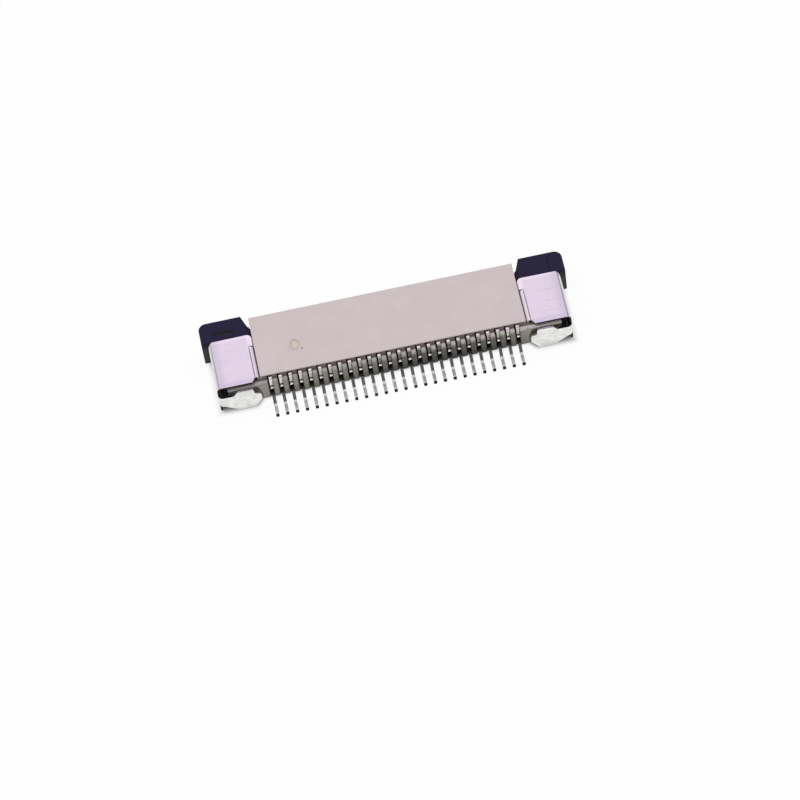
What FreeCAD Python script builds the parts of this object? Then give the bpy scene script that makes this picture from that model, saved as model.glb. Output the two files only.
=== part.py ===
"""A 26-way flat cable connector for surface mounting, with a slide lock.

Millimetres. X runs along the row of contacts, the cable enters from +Y, the
solder feet point to -Y, and Z = 0 is the face of the board.
"""
import FreeCAD, Part
import math
import os
import re
import Sketcher

# Driving sizes: name, value, what it measures
SIZES = [
    ("positions", 26, "contacts in the row"),
    ("pitch", 1.0, "spacing of the contacts"),
    ("row_margin", 0.95, "last contact's centre to the side of the top plate"),
    ("body_front", 3.24, "origin to the housing's front face"),
    ("standoff", 0.1, "board to the housing's underside"),
    ("floor_thickness", 1.35, "housing floor under the cable"),
    ("mouth_height", 1.75, "housing floor to the underside of the top plate"),
    ("plate_thickness", 0.45, "top plate"),
    ("plate_depth", 7.3, "top plate, front to back"),
    ("ledge_depth", 0.65, "step in front of the top plate"),
    ("ledge_drop", 0.45, "top plate's face down to that step"),
    ("brow_height", 0.12, "front edge of the top plate above its undercut"),
    ("undercut", 0.35, "depth of the undercut behind that edge"),
    ("front_wall", 1.4, "wall that carries the contacts, front to back"),
    ("skirt_height", 0.65, "underside to the foot of the front face"),
    ("toe_setback", 0.52, "front face to the front of the underside"),
    ("floor_setback", 0.45, "floor's back edge short of the plate's"),
    ("floor_lead", 0.4, "chamfer that leads the cable in"),
    ("rib_round", 0.25, "round of the ribs' top edge"),
    ("toe_round", 0.3, "round of the ribs' foot"),
    ("plate_round", 0.1, "round of the plate's long edges"),
    ("groove_web", 0.35, "floor left under the contact grooves"),
    ("groove_toe", 0.55, "front face to the front of that floor"),
    ("groove_depth", 5.7, "front face to the back end of a groove"),
    ("channel_play", 0.15, "cable channel wider than the plate, each side"),
    ("channel_height", 0.5, "cable channel in the end blocks"),
    ("slot_play", 0.15, "free width beside each contact"),
    ("blade", 0.3, "contact sheet thickness"),
    ("head_inset", 0.17, "housing front to the contact's face"),
    ("head_rise", 0.28, "contact's top above the step"),
    ("head_depth", 0.47, "contact's head, front to back"),
    ("head_round", 0.25, "front round of the contact's head"),
    ("head_back_round", 0.2, "back round of the contact's head"),
    ("strip_height", 1.05, "face of the contact above its notch"),
    ("notch_depth", 0.3, "notches in the contact's face"),
    ("notch_height", 0.32, "upper notch"),
    ("nose_height", 0.37, "rounded nose between the notches"),
    ("nose_round", 0.17, "round of that nose"),
    ("leg_step", 0.44, "lower notch"),
    ("leg_inset", 0.1, "housing front to the leg's face"),
    ("leg_top", 0.98, "board to the top of the sloping leg"),
    ("leg_run", 0.75, "sloping leg, front to back"),
    ("leg_thickness", 0.2, "sloping leg"),
    ("leg_back", 0.14, "leg's back corner behind and below its face corner"),
    ("leg_round", 0.15, "leg's bends"),
    ("foot_length", 1.37, "flat solder foot in front of the leg"),
    ("foot_thickness", 0.22, "solder foot"),
    ("tip_chamfer", 0.07, "chamfer of the foot's tip"),
    ("spine_back", 1.1, "housing front to the back of the contact's spine"),
    ("upper_beam", 0.38, "contact's upper beam"),
    ("upper_reach", 3.8, "upper beam behind the spine"),
    ("lower_beam", 0.32, "contact's spring beam"),
    ("spring_root", 0.9, "spring beam's straight start behind the spine"),
    ("spring_reach", 3.7, "spring beam behind the spine"),
    ("spring_rise", 0.22, "contact point above the housing floor"),
    ("point_setback", 0.6, "spring beam's tip to the contact point"),
    ("point_run", 1.2, "spring beam's tip to the start of the contact bump"),
    ("point_rise", 0.05, "contact point above the beam's tip line"),
    ("beam_taper", 0.08, "upper beam thinner at its end"),
    ("block_width", 3.45, "end block beyond the plate"),
    ("block_depth", 5.75, "end block, front to back"),
    ("block_drop", 0.17, "end block's top below the plate's"),
    ("side_gap", 0.1, "plate's side to the hold-down"),
    ("side_gap_depth", 0.35, "depth of that gap"),
    ("sheet", 0.2, "hold-down sheet thickness"),
    ("lip_length", 1.08, "hold-down's inner lip, height"),
    ("lip_bend", 0.33, "outer radius of the lip's bend"),
    ("lip_front", 0.7, "housing front to the front end of the lip"),
    ("lip_run", 3.75, "inner lip, front to back"),
    ("lip_play", 0.05, "space round the lip in its slot"),
    ("relief", 0.06, "cut between the lip and the tab behind it"),
    ("shoulder_bend", 0.45, "outer radius of the hold-down's long bend"),
    ("cover_inset", 0.15, "housing front to the hold-down's front edge"),
    ("cover_overhang", 0.15, "hold-down's back edge behind the end block"),
    ("corner_cut", 0.42, "width of the hold-down's front corner cut"),
    ("corner_start", 0.07, "lip opening to the back of that cut"),
    ("tab_round", 0.45, "round of the hold-down's inner back corner"),
    ("flange_gap", 0.08, "housing front to the back of the front flange"),
    ("flange_bend", 0.45, "outer radius of the flange's bend"),
    ("neck_low", 1.12, "board to the lower edge of the flange's neck"),
    ("neck_high", 2.5, "board to the upper edge of the flange's neck"),
    ("neck_run", 1.1, "neck between its bend and the flange"),
    ("neck_slope", 0.35, "neck's upper corner, sideways"),
    ("flange_height", 3.0, "board to the flange's top"),
    ("flange_floor", 0.1, "board to the flange's lower edge"),
    ("flange_inset", 0.21, "plate's side to the flange's inner end"),
    ("flange_step", 0.7, "inner end to the flange's narrow top"),
    ("flange_hip", 2.1, "board to the flange's inner shoulder"),
    ("flange_cheek", 1.2, "board to the start of the lower slope"),
    ("flange_chin", 0.8, "inner end to the flat lower edge"),
    ("flange_sole", 1.5, "flat lower edge"),
    ("recess_depth", 0.5, "recess behind the flange"),
    ("recess_rim", 0.22, "step's top to the recess"),
    ("recess_shoulder", 0.45, "plate's side to the recess's narrow top"),
    ("recess_round", 0.25, "round of the recess's top corner"),
    ("recess_sweep", 0.75, "round of the recess's shoulder"),
    ("recess_inset", 0.05, "plate's side to the recess"),
    ("arm", 0.5, "latch arm thickness"),
    ("arm_play", 0.1, "end block to the latch arm"),
    ("arm_cover_play", 0.22, "latch arm to the hold-down's wall"),
    ("arm_low", 0.9, "underside to the latch arm's lower edge"),
    ("arm_height", 1.6, "latch arm"),
    ("hook_reach", 0.35, "latch hook, inwards"),
    ("hook_depth", 0.6, "latch hook, front to back"),
    ("hook_front", 1.1, "housing front to the latch hook's tip"),
    ("travel", 1.2, "slider's stroke"),
    ("slide_play", 0.1, "running gaps of the slider"),
    ("ear_depth", 2.5, "slider's ears, front to back"),
    ("ear_overhang", 0.63, "ears beyond the hold-down's wall"),
    ("ear_height", 3.3, "ears"),
    ("ear_round", 0.8, "ears' outer back corner"),
    ("guide_flare", 0.53, "widening of the cable mouth at the back"),
    ("guide_inset", 0.12, "start of that widening from the ear's inner side"),
    ("guide_length", 1.45, "length of that widening"),
    ("bar_overhang", 0.22, "slider's bar behind the plate"),
    ("bar_gap", 0.08, "bar below the plate"),
    ("cable_gap", 0.4, "housing floor to the slider"),
    ("tongue_height", 0.8, "slider's tongue"),
    ("tongue_reach", 3.1, "tongue in front of the ears"),
    ("tongue_inset", 0.15, "tongue narrower than the plate, each side"),
    ("tongue_lead", 0.5, "taper at the tongue's tip"),
    ("gate_radius", 0.6, "moulding gate mark on the plate"),
    ("gate_depth", 0.03, "gate mark"),
    ("gate_side", 9.43, "origin to the gate mark, towards -X"),
    ("gate_back", 2.85, "plate's front edge to the gate mark"),
]

# Places worked out from the driving sizes
PLACES = {
    "row_half": "(positions - 1) * pitch / 2",
    "plate_half": "row_half + row_margin",
    "front": "-body_front",
    "plate_front": "front + ledge_depth",
    "plate_back": "plate_front + plate_depth",
    "wall_back": "front + front_wall",
    "floor_back": "plate_back - floor_setback",
    "floor_top": "standoff + floor_thickness",
    "plate_under": "floor_top + mouth_height",
    "plate_top": "plate_under + plate_thickness",
    "ledge_top": "plate_top - ledge_drop",
    "groove_floor": "standoff + groove_web",
    "groove_back": "front + groove_depth",
    "block_outer": "plate_half + block_width",
    "block_back": "front + block_depth",
    "block_top": "plate_top - block_drop",
    "cover_top": "block_top + sheet",
    "cover_inner": "plate_half + side_gap",
    "cover_front": "front + cover_inset",
    "cover_back": "block_back + cover_overhang",
    "lip_start": "front + lip_front",
    "lip_end": "lip_start + lip_run",
    "lip_bottom": "cover_top - lip_length",
    "tab_depth": "cover_back - lip_end - relief",
    "arm_inner": "block_outer + arm_play",
    "arm_outer": "arm_inner + arm",
    "wall_inner": "arm_outer + arm_cover_play",
    "wall_outer": "wall_inner + sheet",
    "flange_back": "front - flange_gap",
    "flange_face": "flange_back - sheet",
    "flange_end": "plate_half + flange_inset",
    "bend_x": "wall_outer - flange_bend",
    "arm_bottom": "standoff + arm_low",
    "arm_top": "arm_bottom + arm_height",
    "hook_tip": "front + hook_front",
    "ear_front": "cover_back + slide_play",
    "ear_back": "ear_front + ear_depth",
    "ear_inner": "plate_half + slide_play",
    "ear_outer": "wall_outer + ear_overhang",
    "ear_top": "standoff + ear_height",
    "guide_front": "ear_back - guide_length",
    "bar_bottom": "floor_top + cable_gap",
    "bar_top": "plate_under - bar_gap",
    "bar_back": "plate_back + bar_overhang",
    "tongue_top": "bar_bottom + tongue_height",
    "tongue_tip": "ear_front - tongue_reach",
    "contact_top": "ledge_top + head_rise",
    "contact_face": "front + head_inset",
    "notch_top": "contact_top - strip_height",
    "notch_back": "contact_face + notch_depth",
    "nose_top": "notch_top - notch_height",
    "nose_bottom": "nose_top - nose_height",
    "leg_shoulder": "nose_bottom - leg_step",
    "leg_face": "front + leg_inset",
    "foot_bend": "leg_face - leg_run",
    "foot_tip": "foot_bend - foot_length",
    "spine_y": "front + spine_back",
    "spring_start": "spine_y + spring_root",
    "spring_tip": "spine_y + spring_reach",
    "spring_top": "floor_top + spring_rise",
}

# Each plane's axis and the way its normal points along that axis
PLANES = {"XY": 1, "XZ": -1, "YZ": 1}

# Two edges nearer than this are in one place
SAME_PLACE = 0.01

document = FreeCAD.newDocument("connector")
NAMES = [name for name, size, meaning in SIZES]


def make_sheet():
    """Write the driving sizes to the sheet, one aliased cell each."""
    sheet = document.addObject("Spreadsheet::Sheet", "Sizes")
    for row, (name, size, meaning) in enumerate(SIZES, start=1):
        sheet.set(f"A{row}", meaning)
        sheet.set(f"B{row}", str(size))
        sheet.setAlias(f"B{row}", name)
    document.recompute()
    return sheet


def bound(text):
    """Turn an expression on size and place names into one on the sheet's cells."""
    def replace(match):
        word = match.group(0)
        if word in PLACES:
            return f"({bound(PLACES[word])})"
        return f"Sizes.{word}" if word in NAMES else word
    return re.sub(r"[A-Za-z_]\w*", replace, text)


def value(text):
    """Evaluate an expression on size and place names."""
    return float(sheet.evalExpression(bound(text)))


def origin_part(body, role):
    """Find one of a body's own origin planes or axes."""
    return next(part for part in body.Origin.OriginFeatures if part.Role == role)


def make_body(name):
    """Start a body whose label names its file."""
    body = document.addObject("PartDesign::Body", name)
    body.Label = name
    return body


def corner_arc(before, corner, after, radius):
    """Work out a corner's arc, its end on the line before and on the line after."""
    back = (before - corner).normalize()
    ahead = (after - corner).normalize()
    half = math.acos(max(-1.0, min(1.0, back.dot(ahead)))) / 2
    trim = radius / math.tan(half)
    first = corner + back * trim
    last = corner + ahead * trim
    centre = corner + (back + ahead).normalize() * (radius / math.sin(half))
    left_turn = back.cross(ahead).z < 0
    start, end = (first, last) if left_turn else (last, first)
    angles = [math.atan2(point.y - centre.y, point.x - centre.x) for point in (start, end)]
    circle = Part.Circle(centre, FreeCAD.Vector(0, 0, 1), radius)
    return Part.ArcOfCircle(circle, *angles), first, last, left_turn


def draw_outline(sketch, corners):
    """Draw a closed outline through corners (x, y) or (x, y, radius), fully constrained."""
    count = len(corners)
    spots = [FreeCAD.Vector(value(corner[0]), value(corner[1]), 0) for corner in corners]
    starts, ends = list(spots), list(spots)
    arcs = {}
    for index, corner in enumerate(corners):
        if len(corner) == 3:
            arc, first, last, left_turn = corner_arc(
                spots[index - 1], spots[index], spots[(index + 1) % count], value(corner[2]))
            arcs[index] = (arc, left_turn)
            ends[index], starts[index] = first, last
    for index in range(count):
        line = Part.LineSegment(starts[index], ends[(index + 1) % count])
        sketch.addGeometry(line, False)
    rules, formulas = [], {}

    def place(geometry, index):
        for rule, formula in zip(("DistanceX", "DistanceY"), corners[index]):
            formulas[len(rules)] = formula
            rules.append(Sketcher.Constraint(rule, -1, 1, geometry, 1, value(formula)))

    for index, corner in enumerate(corners):
        before = (index - 1) % count
        if index not in arcs:
            rules.append(Sketcher.Constraint("Coincident", before, 2, index, 1))
            place(index, index)
            continue
        arc, left_turn = arcs[index]
        curve = sketch.addGeometry(arc, False)
        vertex = sketch.addGeometry(Part.Point(spots[index]), True)
        near, far = (1, 2) if left_turn else (2, 1)
        rules.append(Sketcher.Constraint("Tangent", before, 2, curve, near))
        rules.append(Sketcher.Constraint("Tangent", index, 1, curve, far))
        rules.append(Sketcher.Constraint("PointOnObject", vertex, 1, before))
        rules.append(Sketcher.Constraint("PointOnObject", vertex, 1, index))
        place(vertex, index)
        formulas[len(rules)] = corner[2]
        rules.append(Sketcher.Constraint("Radius", curve, value(corner[2])))
    sketch.addConstraint(rules)
    for rule, formula in formulas.items():
        sketch.setExpression(f"Constraints[{rule}]", bound(formula))


def new_sketch(body, name, plane, height):
    """Attach a sketch to a body's own plane, at a height along the plane's axis."""
    sketch = body.newObject("Sketcher::SketchObject", name)
    sketch.AttachmentSupport = [(origin_part(body, f"{plane}_Plane"), "")]
    sketch.MapMode = "FlatFace"
    sketch.setExpression("AttachmentOffset.Base.z", f"{PLANES[plane]} * ({bound(height)})")
    return sketch


def extrude(body, kind, name, sketch, plane, low, high):
    """Pad or pocket a sketch from low to high along the plane's axis."""
    feature = body.newObject(f"PartDesign::{kind}", name)
    feature.Profile = sketch
    with_normal = PLANES[plane] > 0
    feature.Reversed = not with_normal if kind == "Pad" else with_normal
    feature.setExpression("Length", bound(f"({high}) - ({low})"))
    document.recompute()
    return feature


def add(body, name, plane, corners, low, high):
    """Add a prism with the outline of corners, from low to high."""
    sketch = new_sketch(body, f"{name}_outline", plane, low)
    draw_outline(sketch, corners)
    return extrude(body, "Pad", name, sketch, plane, low, high)


def cut_sketch(body, name, sketch, plane, low, high):
    """Cut a sketch out of a body and see that it took something away."""
    volume = body.Shape.Volume
    feature = extrude(body, "Pocket", name, sketch, plane, low, high)
    if not body.Shape.Volume < volume:
        raise ValueError(f"{name} cuts nothing")
    return feature


def cut(body, name, plane, corners, low, high):
    """Cut a prism with the outline of corners, from low to high."""
    sketch = new_sketch(body, f"{name}_outline", plane, low)
    draw_outline(sketch, corners)
    return cut_sketch(body, name, sketch, plane, low, high)


def box(left, right, bottom, top):
    """Give the four corners of a rectangle."""
    return [(left, bottom), (right, bottom), (right, top), (left, top)]


def mirror(body, name, features):
    """Repeat features on the other side of the middle plane."""
    feature = body.newObject("PartDesign::Mirrored", name)
    feature.Originals = features
    feature.MirrorPlane = (origin_part(body, "YZ_Plane"), [""])
    body.Tip = feature
    document.recompute()
    return feature


def make_housing():
    """Moulded housing: a C-section with a slotted front wall between two end blocks."""
    body = make_body("housing")
    add(body, "c_section", "YZ", [
        ("plate_back", "plate_under"),
        ("plate_back", "plate_top", "plate_round"),
        ("plate_front", "plate_top", "plate_round"),
        ("plate_front", "plate_top - brow_height"),
        ("plate_front + undercut", "plate_top - brow_height"),
        ("plate_front + undercut", "ledge_top"),
        ("front", "ledge_top", "rib_round"),
        ("front", "standoff + skirt_height", "toe_round"),
        ("front + toe_setback", "standoff"),
        ("floor_back", "standoff"),
        ("floor_back", "floor_top - floor_lead"),
        ("floor_back - floor_lead", "floor_top"),
        ("wall_back", "floor_top"),
        ("wall_back", "plate_under"),
    ], "-plate_half", "plate_half")

    block = add(body, "end_block", "XZ",
                box("plate_half", "block_outer", "standoff", "block_top"), "front", "block_back")
    ledge = cut(body, "end_ledge", "XZ",
                box("plate_half", "block_outer + sheet", "ledge_top", "block_top + sheet"),
                "front - sheet", "plate_front")
    side_gap = cut(body, "plate_side_gap", "XZ",
                   box("plate_half", "cover_inner", "plate_top - side_gap_depth", "plate_top"),
                   "plate_front - sheet", "block_back + sheet")
    lip_slot = cut(body, "lip_slot", "XZ",
                   box("plate_half", "cover_inner + sheet + lip_bend - lip_play",
                       "lip_bottom - lip_play", "plate_top"),
                   "plate_front", "lip_end + lip_play")
    channel = cut(body, "cable_channel", "XZ",
                  box("plate_half", "plate_half + channel_play", "floor_top",
                      "floor_top + channel_height"),
                  "wall_back", "block_back + sheet")
    recess = cut(body, "flange_recess", "XZ", [
        ("block_outer + sheet", "ledge_top - recess_rim"),
        ("plate_half + recess_shoulder", "ledge_top - recess_rim", "recess_round"),
        ("plate_half + recess_inset", "flange_hip - recess_round", "recess_sweep"),
        ("plate_half + recess_inset", "standoff + skirt_height + toe_round"),
        ("plate_half", "standoff + skirt_height + toe_round"),
        ("plate_half", "0"),
        ("block_outer + sheet", "0"),
    ], "front - sheet", "front + recess_depth")
    hook_groove = cut(body, "hook_groove", "XY",
                      box("block_outer - hook_reach + arm_play - slide_play", "block_outer + arm",
                          "hook_tip - slide_play",
                          "hook_tip + hook_depth + travel + slide_play"),
                      "arm_bottom - slide_play", "arm_top + slide_play")
    mirror(body, "other_end",
           [block, ledge, side_gap, lip_slot, channel, recess, hook_groove])

    first = "-row_half"
    slot = cut(body, "contact_slot", "YZ", [
        ("front - sheet", "0"),
        ("front + groove_toe", "0"),
        ("front + groove_toe", "groove_floor"),
        ("groove_back", "groove_floor"),
        ("groove_back", "floor_top + blade"),
        ("wall_back + blade", "floor_top + blade"),
        ("wall_back + blade", "plate_under"),
        ("plate_front", "plate_under"),
        ("plate_front", "contact_top"),
        ("front - sheet", "contact_top"),
    ], f"{first} - blade / 2 - slot_play", f"{first} + blade / 2")
    slots = body.newObject("PartDesign::LinearPattern", "contact_slots")
    slots.Originals = [slot]
    slots.Direction = (origin_part(body, "X_Axis"), [""])
    slots.Mode = "Spacing"
    slots.setExpression("Offset", bound("pitch"))
    slots.setExpression("Occurrences", bound("positions"))
    body.Tip = slots
    document.recompute()

    gate = new_sketch(body, "gate_mark_outline", "XY", "plate_top - gate_depth")
    side, depth = "-gate_side", "plate_front + gate_back"
    centre = FreeCAD.Vector(value(side), value(depth), 0)
    gate.addGeometry(Part.Circle(centre, FreeCAD.Vector(0, 0, 1), value("gate_radius")), False)
    for rule, formula in enumerate((side, depth, "gate_radius")):
        kind = ("DistanceX", "DistanceY", "Radius")[rule]
        ends = (0,) if kind == "Radius" else (-1, 1, 0, 3)
        gate.addConstraint(Sketcher.Constraint(kind, *ends, value(formula)))
        gate.setExpression(f"Constraints[{rule}]", bound(formula))
    cut_sketch(body, "gate_mark", gate, "XY", "plate_top - gate_depth", "plate_top")
    return body


def make_slider():
    """Slide lock: two ears joined by a bar, with a tongue and two latch arms."""
    body = make_body("slider")
    add(body, "bar", "YZ", [
        ("ear_front - tongue_inset", "bar_bottom"),
        ("bar_back", "bar_bottom", "plate_round"),
        ("bar_back", "bar_top", "plate_round"),
        ("ear_front", "bar_top"),
        ("ear_front", "tongue_top"),
        ("ear_front - tongue_inset", "tongue_top"),
    ], "-(plate_half - slide_play / 2)", "plate_half - slide_play / 2")
    add(body, "tongue", "YZ", [
        ("tongue_tip", "bar_bottom + tongue_height / 3"),
        ("tongue_tip + tongue_lead", "bar_bottom"),
        ("ear_front", "bar_bottom"),
        ("ear_front", "tongue_top"),
        ("tongue_tip", "tongue_top"),
    ], "-(plate_half - tongue_inset)", "plate_half - tongue_inset")
    ear = add(body, "ear", "XY", [
        ("ear_inner", "ear_front"),
        ("ear_outer", "ear_front"),
        ("ear_outer", "ear_back", "ear_round"),
        ("ear_inner + guide_inset + guide_flare", "ear_back"),
        ("ear_inner + guide_inset", "guide_front"),
        ("ear_inner", "guide_front"),
    ], "standoff", "ear_top")
    bridge = add(body, "bridge", "YZ",
                 box("ear_front", "guide_front", "bar_bottom", "bar_top"),
                 "plate_half - slide_play", "ear_inner + guide_inset")
    arm = add(body, "latch_arm", "XY", [
        ("arm_inner - hook_reach", "hook_tip + hook_depth / 2"),
        ("arm_inner", "hook_tip"),
        ("arm_outer", "hook_tip"),
        ("arm_outer", "ear_front + arm"),
        ("arm_inner", "ear_front + arm"),
        ("arm_inner", "hook_tip + hook_depth"),
        ("arm_inner - hook_reach", "hook_tip + hook_depth"),
    ], "arm_bottom", "arm_top")
    mirror(body, "other_ear", [ear, bridge, arm])
    return body


def make_hold_down():
    """Right hold-down: a folded sheet over the end block, with a flange across its front."""
    body = make_body("hold_down_right")
    inner_bend = "shoulder_bend - sheet"
    add(body, "cover", "XZ", [
        ("cover_inner", "block_top"),
        ("wall_inner", "block_top", inner_bend),
        ("wall_inner", "0"),
        ("wall_outer", "0"),
        ("wall_outer", "cover_top", "shoulder_bend"),
        ("cover_inner", "cover_top"),
    ], "cover_front", "cover_back")
    lip_side = "cover_inner + lip_bend"
    cut(body, "lip_opening", "XY",
        box("cover_inner - sheet", lip_side, "cover_front - sheet", "lip_end + relief"),
        "block_top - sheet", "cover_top + sheet")
    lip_root = f"{lip_side} + relief"
    add(body, "inner_lip", "XZ", [
        (lip_root, "block_top"),
        ("cover_inner + sheet", "block_top", "lip_bend - sheet"),
        ("cover_inner + sheet", "lip_bottom"),
        ("cover_inner", "lip_bottom"),
        ("cover_inner", "cover_top", "lip_bend"),
        (lip_root, "cover_top"),
    ], "lip_start", "lip_end")
    corner_x = f"{lip_side} + corner_cut"
    cut(body, "front_corner", "XY", [
        (f"{lip_side} - sheet", "cover_front - sheet"),
        (corner_x, "cover_front - sheet"),
        (corner_x, "cover_front"),
        (f"{lip_side} + corner_start", "lip_start"),
        (f"{lip_side} - sheet", "lip_start"),
    ], "block_top - sheet", "cover_top + sheet")
    add(body, "flange_bend", "XY", [
        ("bend_x - relief", "flange_face"),
        ("wall_outer", "flange_face", "flange_bend"),
        ("wall_outer", "cover_front + relief"),
        ("wall_inner", "cover_front + relief"),
        ("wall_inner", "flange_back", "flange_bend - sheet"),
        ("bend_x - relief", "flange_back"),
    ], "neck_low", "neck_high")
    add(body, "flange", "XZ", [
        ("bend_x", "neck_high"),
        ("bend_x - neck_run", "neck_high", "sheet"),
        ("bend_x - neck_run - neck_slope", "flange_height", "sheet"),
        ("flange_end + flange_step", "flange_height", "sheet"),
        ("flange_end + flange_step - lip_play", "flange_hip + sheet"),
        ("flange_end", "flange_hip", "lip_bend"),
        ("flange_end", "flange_cheek", "lip_bend"),
        ("flange_end + flange_chin", "flange_floor", "lip_bend"),
        ("flange_end + flange_chin + flange_sole", "flange_floor", "shoulder_bend"),
        ("bend_x", "neck_low"),
    ], "flange_face", "flange_back")
    back_edges = []
    for number, edge in enumerate(body.Shape.Edges, start=1):
        middle = edge.CenterOfMass
        beside = abs(middle.x - value("cover_inner")) < SAME_PLACE
        behind = abs(middle.y - value("cover_back")) < SAME_PLACE
        if beside and behind:
            back_edges.append(f"Edge{number}")
    flange = body.Tip
    rounding = body.newObject("PartDesign::Fillet", "tab_corner")
    rounding.Base = (flange, back_edges)
    rounding.setExpression("Radius", bound("min(tab_round; tab_depth - relief)"))
    document.recompute()
    return body


def make_left_hold_down(right):
    """Left hold-down: the right one's mirror image."""
    left = document.addObject("Part::Mirroring", "hold_down_left")
    left.Label = "hold_down_left"
    left.Source = right
    left.Base = FreeCAD.Vector(0, 0, 0)
    left.Normal = FreeCAD.Vector(1, 0, 0)
    return left


def place_contact(body, number):
    """Set a contact in its slot, counted from the -X end."""
    body.setExpression("Placement.Base.x", bound(f"{number - 1} * pitch - row_half"))
    return body


def make_contact():
    """First contact: a stamped blade with two beams, a notched face and a solder foot."""
    body = make_body("contact_01")
    add(body, "blade_form", "YZ", [
        ("contact_face + head_depth", "contact_top", "head_back_round"),
        ("contact_face", "contact_top", "head_round"),
        ("contact_face", "notch_top"),
        ("notch_back", "notch_top"),
        ("notch_back", "nose_top"),
        ("contact_face", "nose_top", "nose_round"),
        ("contact_face", "nose_bottom", "nose_round"),
        ("notch_back", "nose_bottom"),
        ("notch_back", "leg_shoulder"),
        ("leg_face", "leg_shoulder"),
        ("leg_face", "leg_top", "leg_round"),
        ("foot_bend", "foot_thickness", "leg_round"),
        ("foot_tip + tip_chamfer", "foot_thickness"),
        ("foot_tip", "foot_thickness - tip_chamfer"),
        ("foot_tip", "0"),
        ("foot_bend + leg_thickness / 4", "0", "leg_round"),
        ("leg_face + leg_back", "leg_top - leg_back"),
        ("front + groove_toe + lip_play", "groove_floor"),
        ("spring_start", "groove_floor"),
        ("spring_tip", "spring_top - lower_beam"),
        ("spring_tip", "spring_top - lower_beam / 2"),
        ("spring_tip - point_setback", "spring_top + point_rise"),
        ("spring_tip - point_run", "spring_top - lower_beam"),
        ("spring_start - blade", "groove_floor + lower_beam"),
        ("spine_y", "groove_floor + lower_beam"),
        ("spine_y", "plate_under - upper_beam"),
        ("spine_y + upper_reach", "plate_under - upper_beam + beam_taper"),
        ("spine_y + upper_reach", "plate_under"),
        ("contact_face + head_depth", "plate_under"),
    ], "-blade / 2", "blade / 2")
    return place_contact(body, 1)


def repeat_contact(first, number):
    """Another contact of the row, from the first one's solid."""
    body = make_body(f"contact_{number:02d}")
    body.BaseFeature = first
    return place_contact(body, number)


def check_states():
    """Stop if any object failed to rebuild."""
    for item in document.Objects:
        if {"Invalid", "Error"} & set(item.State):
            raise ValueError(f"{item.Name} failed: {item.State}")


def check_shape(part):
    """Stop if a piece is empty, broken or not one solid."""
    shape = part.Shape
    if shape.isNull() or not shape.isValid() or len(shape.Solids) != 1:
        raise ValueError(f"{part.Label} is not one valid solid")


sheet = make_sheet()
right_hold_down = make_hold_down()
first_contact = make_contact()
parts = [make_housing(), make_slider(), right_hold_down, make_left_hold_down(right_hold_down),
         first_contact]
for number in range(2, int(value("positions")) + 1):
    parts.append(repeat_contact(first_contact, number))
document.recompute()
check_states()
os.makedirs("parts", exist_ok=True)
for part in parts:
    check_shape(part)
    part.Shape.exportStep(f"parts/{part.Label}.step")
    print(part.Label, len(part.Shape.Faces), "faces", round(part.Shape.Volume, 3), "mm3")
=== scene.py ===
"""A 26-way flat cable connector with a slide lock: its finishes, its studio and its camera.

Metres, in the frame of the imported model. X runs along the row of contacts, the
cable enters from +Y and the solder feet point to -Y.
"""

import logging
import math
from collections.abc import Callable
from dataclasses import dataclass, field, replace
from enum import Enum
from typing import Any

import bmesh
import bpy
from mathutils import Euler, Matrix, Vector


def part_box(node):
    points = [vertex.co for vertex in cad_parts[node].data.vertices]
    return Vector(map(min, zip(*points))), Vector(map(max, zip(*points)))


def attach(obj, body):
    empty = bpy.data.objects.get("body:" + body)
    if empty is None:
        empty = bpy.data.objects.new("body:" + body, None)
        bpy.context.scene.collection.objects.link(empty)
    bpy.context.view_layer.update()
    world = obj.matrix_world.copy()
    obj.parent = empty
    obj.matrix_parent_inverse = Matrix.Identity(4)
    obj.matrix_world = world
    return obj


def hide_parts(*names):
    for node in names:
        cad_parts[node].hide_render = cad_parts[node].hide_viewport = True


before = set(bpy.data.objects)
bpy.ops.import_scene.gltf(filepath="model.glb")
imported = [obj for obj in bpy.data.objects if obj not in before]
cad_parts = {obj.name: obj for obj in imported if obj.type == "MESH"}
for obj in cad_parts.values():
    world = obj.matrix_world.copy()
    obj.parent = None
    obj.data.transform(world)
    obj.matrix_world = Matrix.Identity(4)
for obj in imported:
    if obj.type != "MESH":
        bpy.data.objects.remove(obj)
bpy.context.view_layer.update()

MM = 0.001
MERGE_MM = 0.0005
FLAT_DEG = 1.0
FIXED_BODY = "connector"
LOCK_BODY = "lock"
WHITE = "#FFFFFF"

# Nearly all values of a noise texture lie between these
NOISE_SPAN = (0.3, 0.7)

# A face stands upright, or looks along an axis, by these shares of its normal
UPRIGHT = 0.1
FACING = 0.9

Tree = bpy.types.NodeTree
Socket = bpy.types.NodeSocket

logging.basicConfig(level=logging.INFO, format="%(message)s")
log = logging.getLogger("connector")


class Slot(Enum):
    """The record's material slots."""

    HOUSING = "housing_resin"
    SLIDER = "slider_resin"
    HOLD_DOWN = "hold_down_tin"
    CONTACT = "contact_tin"


def linear(colour: str) -> tuple[float, float, float, float]:
    """Turn an sRGB hex colour into linear values.

    Args:
        colour: Six hex digits after a hash sign.

    Returns:
        Red, green, blue and an alpha of one.
    """
    shares = [int(colour[start:start + 2], 16) / 255 for start in (1, 3, 5)]
    light = [share / 12.92 if share <= 0.04045 else ((share + 0.055) / 1.055) ** 2.4
             for share in shares]
    return (light[0], light[1], light[2], 1.0)


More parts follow.
